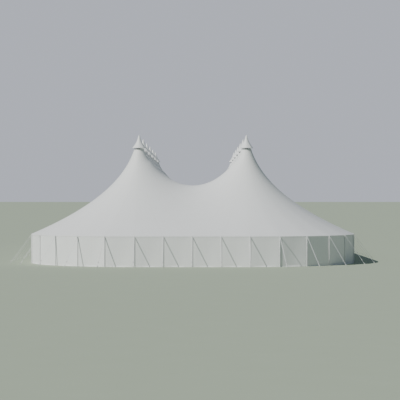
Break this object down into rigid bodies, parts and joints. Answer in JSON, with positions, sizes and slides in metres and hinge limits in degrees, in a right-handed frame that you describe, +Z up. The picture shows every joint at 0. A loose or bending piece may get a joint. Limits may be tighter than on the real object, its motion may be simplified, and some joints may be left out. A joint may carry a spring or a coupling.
{
  "type": "circus big top tent, 1:10 scale model",
  "caption": "Scale model of a long white big top tent: peaked membrane roof on king poles with flared rain caps, rounded ends, plain walls, side poles and guy straps.",
  "frame": {"origin": "on the ground, under the centre of the plan", "axes": "+Y along the tent, with the front end at -Y, +X to the right seen from the front, +Z up"},
  "size_m": [4.7552, 10.3552, 1.662],
  "materials": {
    "roof_membrane": "coated polyester, satin",
    "wall_membrane": "coated polyester, satin",
    "cap_membrane": "coated polyester, satin",
    "king_pole_steel": "galvanised",
    "side_pole_steel": "galvanised"
  },
  "bodies": {
    "root": {"roof_front_end": "roof_membrane", "roof_middle_1": "roof_membrane", "roof_middle_2": "roof_membrane", "roof_middle_3": "roof_membrane", "roof_middle_4": "roof_membrane", "roof_middle_5": "roof_membrane", "roof_rear_end": "roof_membrane", "wall_front": "wall_membrane", "side_poles_and_guys_front": "side_pole_steel", "wall_front_right": "wall_membrane", "side_poles_and_guys_front_right": "side_pole_steel", "wall_right": "wall_membrane", "side_poles_and_guys_right": "side_pole_steel", "wall_rear_right": "wall_membrane", "side_poles_and_guys_rear_right": "side_pole_steel", "wall_rear": "wall_membrane", "side_poles_and_guys_rear": "side_pole_steel", "wall_rear_left": "wall_membrane", "side_poles_and_guys_rear_left": "side_pole_steel", "wall_left": "wall_membrane", "side_poles_and_guys_left": "side_pole_steel", "wall_front_left": "wall_membrane", "side_poles_and_guys_front_left": "side_pole_steel", "king_pole_left_1": "king_pole_steel", "rain_cap_left_1": "cap_membrane", "king_pole_left_2": "king_pole_steel", "rain_cap_left_2": "cap_membrane", "king_pole_left_3": "king_pole_steel", "rain_cap_left_3": "cap_membrane", "king_pole_left_4": "king_pole_steel", "rain_cap_left_4": "cap_membrane", "king_pole_left_5": "king_pole_steel", "rain_cap_left_5": "cap_membrane", "king_pole_left_6": "king_pole_steel", "rain_cap_left_6": "cap_membrane", "king_pole_right_1": "king_pole_steel", "rain_cap_right_1": "cap_membrane", "king_pole_right_2": "king_pole_steel", "rain_cap_right_2": "cap_membrane", "king_pole_right_3": "king_pole_steel", "rain_cap_right_3": "cap_membrane", "king_pole_right_4": "king_pole_steel", "rain_cap_right_4": "cap_membrane", "king_pole_right_5": "king_pole_steel", "rain_cap_right_5": "cap_membrane", "king_pole_right_6": "king_pole_steel", "rain_cap_right_6": "cap_membrane"}
  },
  "joints": []
}
